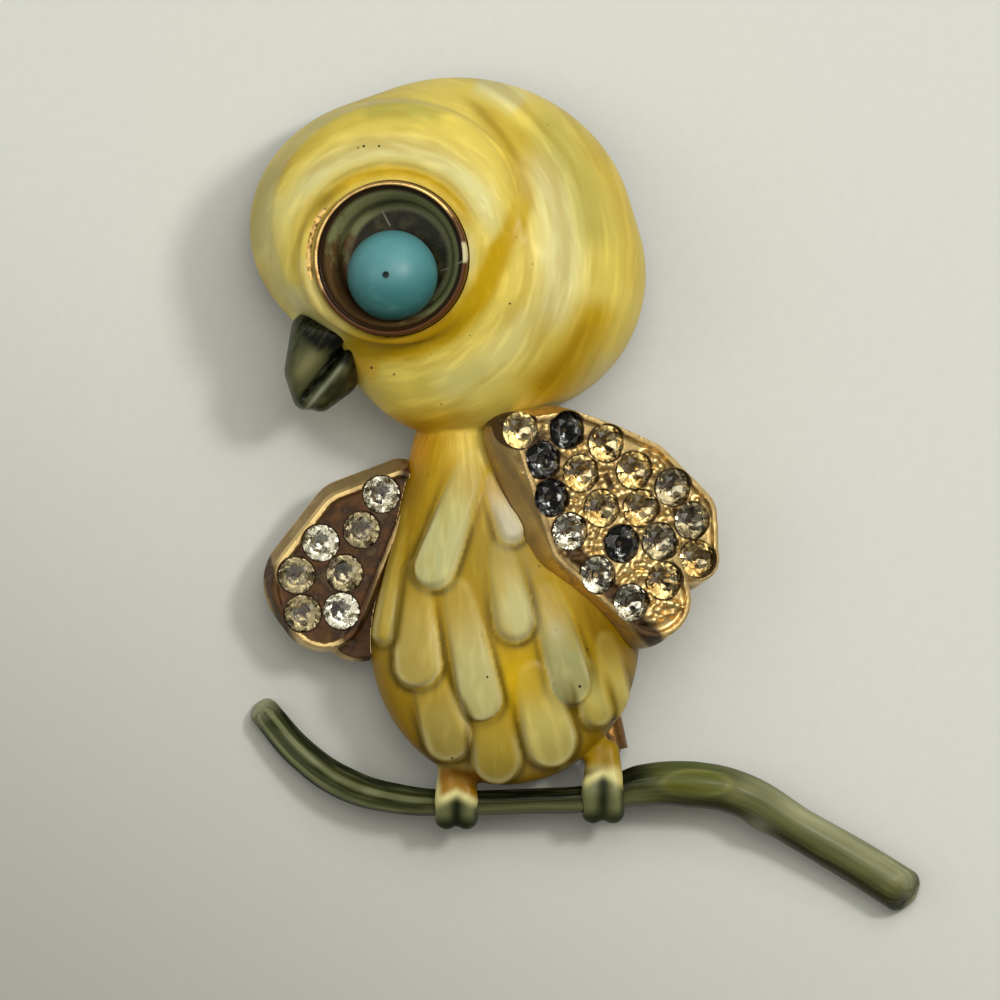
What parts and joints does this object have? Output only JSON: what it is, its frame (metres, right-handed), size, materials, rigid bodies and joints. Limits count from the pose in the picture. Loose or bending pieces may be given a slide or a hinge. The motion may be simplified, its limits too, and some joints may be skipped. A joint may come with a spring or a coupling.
{
  "type": "figural bird brooch",
  "caption": "Enamelled bird brooch with a domed head, a bead eye in a stepped gold setting, stone-paved gold wings and a twig under its feet.",
  "frame": {"origin": "centre of the overall box in plan, on the surface that the brooch lies on", "axes": "+Z out of the brooch's face, +Y to the top of the bird's head, +X to the viewer's right; it lies on its pin and on the twig's two ends"},
  "size_m": [0.042, 0.0522, 0.0153],
  "materials": {
    "yellow_enamel": "glossy hand-brushed enamel over cast metal",
    "green_enamel": "glossy dark green enamel over cast metal",
    "gold_plate": "gold-coloured plate, tarnished brown in the recesses",
    "turquoise_bead": "smooth opaque bead",
    "clear_stone": "faceted and foiled, some of them yellowed or darkened"
  },
  "bodies": {
    "root": {"bird_casting": "yellow_enamel", "beak": "green_enamel", "eye_cup": "gold_plate", "eye_bead": "turquoise_bead", "left_wing": "gold_plate", "right_wing": "gold_plate", "branch": "green_enamel", "pin_back": "gold_plate", "left_stone_1": "clear_stone", "left_stone_2": "clear_stone", "left_stone_3": "clear_stone", "left_stone_4": "clear_stone", "left_stone_5": "clear_stone", "left_stone_6": "clear_stone", "left_stone_7": "clear_stone", "right_stone_1": "clear_stone", "right_stone_2": "clear_stone", "right_stone_3": "clear_stone", "right_stone_4": "clear_stone", "right_stone_5": "clear_stone", "right_stone_6": "clear_stone", "right_stone_7": "clear_stone", "right_stone_8": "clear_stone", "right_stone_9": "clear_stone", "right_stone_10": "clear_stone", "right_stone_11": "clear_stone", "right_stone_12": "clear_stone", "right_stone_13": "clear_stone", "right_stone_14": "clear_stone", "right_stone_15": "clear_stone", "right_stone_16": "clear_stone", "right_stone_17": "clear_stone", "right_stone_18": "clear_stone"}
  },
  "joints": []
}
